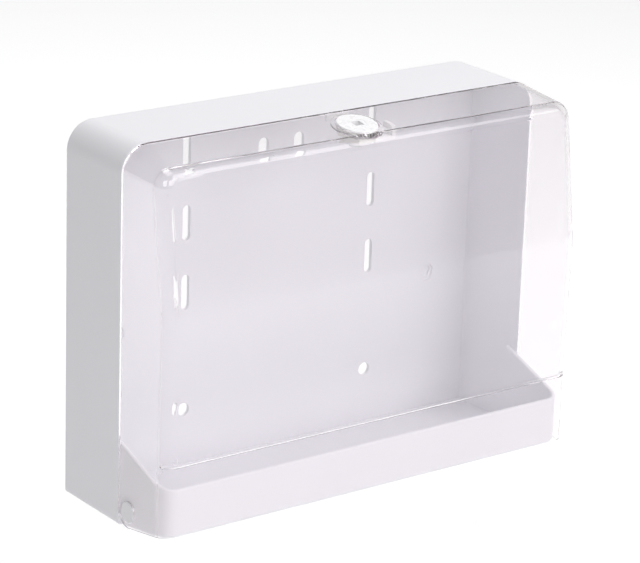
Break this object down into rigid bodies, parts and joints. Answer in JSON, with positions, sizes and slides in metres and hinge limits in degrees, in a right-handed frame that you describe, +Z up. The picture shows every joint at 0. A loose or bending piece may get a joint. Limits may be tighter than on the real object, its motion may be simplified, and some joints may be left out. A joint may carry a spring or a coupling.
{
  "type": "film dispenser",
  "caption": "Wall-hung dispenser box for cling film or sheets, with a clear hinged front cover, a bottom trough with an outlet, and a key lock on top.",
  "frame": {"origin": "centre of the housing's flat back face, where it meets the wall", "axes": "+X to the right seen from the front, +Y into the wall, +Z up"},
  "size_m": [0.32, 0.1154, 0.245],
  "materials": {
    "housing_white": "moulded white plastic, satin gloss",
    "cover_clear": "clear colourless moulded plastic, polished",
    "pin_white": "moulded white plastic, satin",
    "lock_white": "moulded white plastic, satin",
    "nut_natural": "moulded natural nylon",
    "zinc_steel": "zinc-plated steel"
  },
  "bodies": {
    "housing": {"housing": "housing_white", "hinge_pin_left": "pin_white", "hinge_pin_right": "pin_white", "lock_keeper": "lock_white"},
    "cover": {"front_cover": "cover_clear", "lock_body": "lock_white", "lock_nut": "nut_natural"},
    "lock": {"lock_rotor": "lock_white", "lock_cam": "lock_white", "cam_washer": "zinc_steel", "cam_screw": "zinc_steel"}
  },
  "joints": [
    {"name": "cover_hinge", "type": "hinge", "parent": "housing", "child": "cover", "pos_m": [0, -0.0725, -0.11], "axis": [1, 0, 0], "range_deg": [0, 95]},
    {"name": "lock_turn", "type": "hinge", "parent": "cover", "child": "lock", "pos_m": [0, -0.0825, 0.11912], "axis": [0, -0.165, 0.9863], "range_deg": [0, 90]}
  ]
}
